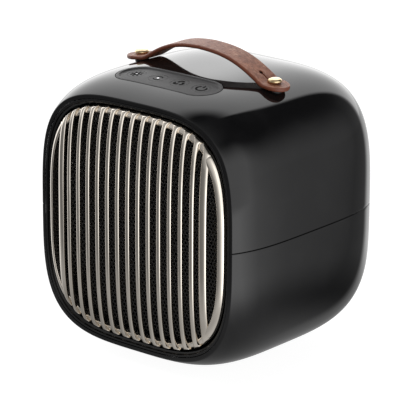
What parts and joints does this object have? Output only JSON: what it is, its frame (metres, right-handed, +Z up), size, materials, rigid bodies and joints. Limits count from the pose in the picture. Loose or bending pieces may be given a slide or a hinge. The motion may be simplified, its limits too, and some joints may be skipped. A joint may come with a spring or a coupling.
{
  "type": "ceramic space heater",
  "caption": "Desktop ceramic fan heater: rounded gloss cube with a ribbed metal front grille, top control panel and leather strap handle.",
  "frame": {"origin": "on the floor, under the middle of the case", "axes": "+Z up, -Y out of the front grille, +X to the right of someone who faces the grille"},
  "size_m": [0.174, 0.1544, 0.1983],
  "materials": {
    "gloss_black": "gloss",
    "satin_black": "satin",
    "nickel": "plated",
    "soft_touch": "matt",
    "circuit_board": "satin",
    "switch_plastic": "satin",
    "pale_plastic": "satin",
    "leather": "satin",
    "brass": "polished",
    "zinc_steel": "satin",
    "mica": "matt",
    "fin_aluminium": "satin",
    "foot_rubber": "matt"
  },
  "bodies": {
    "case": {"upper_shell": "gloss_black", "lower_shell": "gloss_black", "front_bezel": "gloss_black", "front_grille": "nickel", "guard_mesh": "satin_black", "rear_cover": "satin_black", "rear_screws": "zinc_steel", "rear_frame": "satin_black", "cord_gland": "satin_black", "control_panel": "soft_touch", "control_board": "circuit_board", "tact_switches": "switch_plastic", "status_leds": "pale_plastic", "strap_end_left": "leather", "strap_end_right": "leather", "stud_left": "brass", "stud_right": "brass", "stud_bosses": "satin_black", "stud_nuts": "zinc_steel", "air_duct": "mica", "ptc_frame": "mica", "ptc_bars": "mica", "ptc_fins": "fin_aluminium", "thermal_cutoff": "zinc_steel", "thermal_fuse": "mica", "fan_shroud": "satin_black", "motor_body": "zinc_steel", "motor_screws": "zinc_steel", "duct_stand": "satin_black", "power_board": "circuit_board", "board_spacers": "pale_plastic", "relay": "switch_plastic", "terminal_block": "pale_plastic", "tip_switch": "switch_plastic", "foot_front_left": "foot_rubber", "foot_front_right": "foot_rubber", "foot_rear_left": "foot_rubber", "foot_rear_right": "foot_rubber"},
    "key_heat_body": {"key_heat": "soft_touch"},
    "key_timer_body": {"key_timer": "soft_touch"},
    "key_fan_body": {"key_fan": "soft_touch"},
    "key_power_body": {"key_power": "soft_touch"},
    "rotor": {"fan_impeller": "pale_plastic", "motor_shaft": "zinc_steel"},
    "handle": {"strap_arch": "leather"},
    "plunger": {"tip_plunger": "pale_plastic"}
  },
  "joints": [
    {"name": "press_heat", "type": "slide", "parent": "case", "child": "key_heat_body", "axis": [0, 0.0941, -0.9956], "range_m": [0, 0.0008], "stiffness_N_per_m": 1500},
    {"name": "press_timer", "type": "slide", "parent": "case", "child": "key_timer_body", "axis": [0, 0.0941, -0.9956], "range_m": [0, 0.0008], "stiffness_N_per_m": 1500},
    {"name": "press_fan", "type": "slide", "parent": "case", "child": "key_fan_body", "axis": [0, 0.0941, -0.9956], "range_m": [0, 0.0008], "stiffness_N_per_m": 1500},
    {"name": "press_power", "type": "slide", "parent": "case", "child": "key_power_body", "axis": [0, 0.0941, -0.9956], "range_m": [0, 0.0008], "stiffness_N_per_m": 1500},
    {"name": "fan_spin", "type": "hinge", "parent": "case", "child": "rotor", "pos_m": [0, 0.012, 0.093], "axis": [0, 1, 0], "continuous": true},
    {"name": "strap_lean", "type": "hinge", "parent": "case", "child": "handle", "pos_m": [0, 0, 0.185], "axis": [1, 0, 0], "range_deg": [-8, 8], "stiffness_Nm_per_rad": 0.4},
    {"name": "plunger_slide", "type": "slide", "parent": "case", "child": "plunger", "axis": [0, 0, 1], "range_m": [-0.004, 0], "stiffness_N_per_m": 60, "springref_m": -0.004}
  ]
}
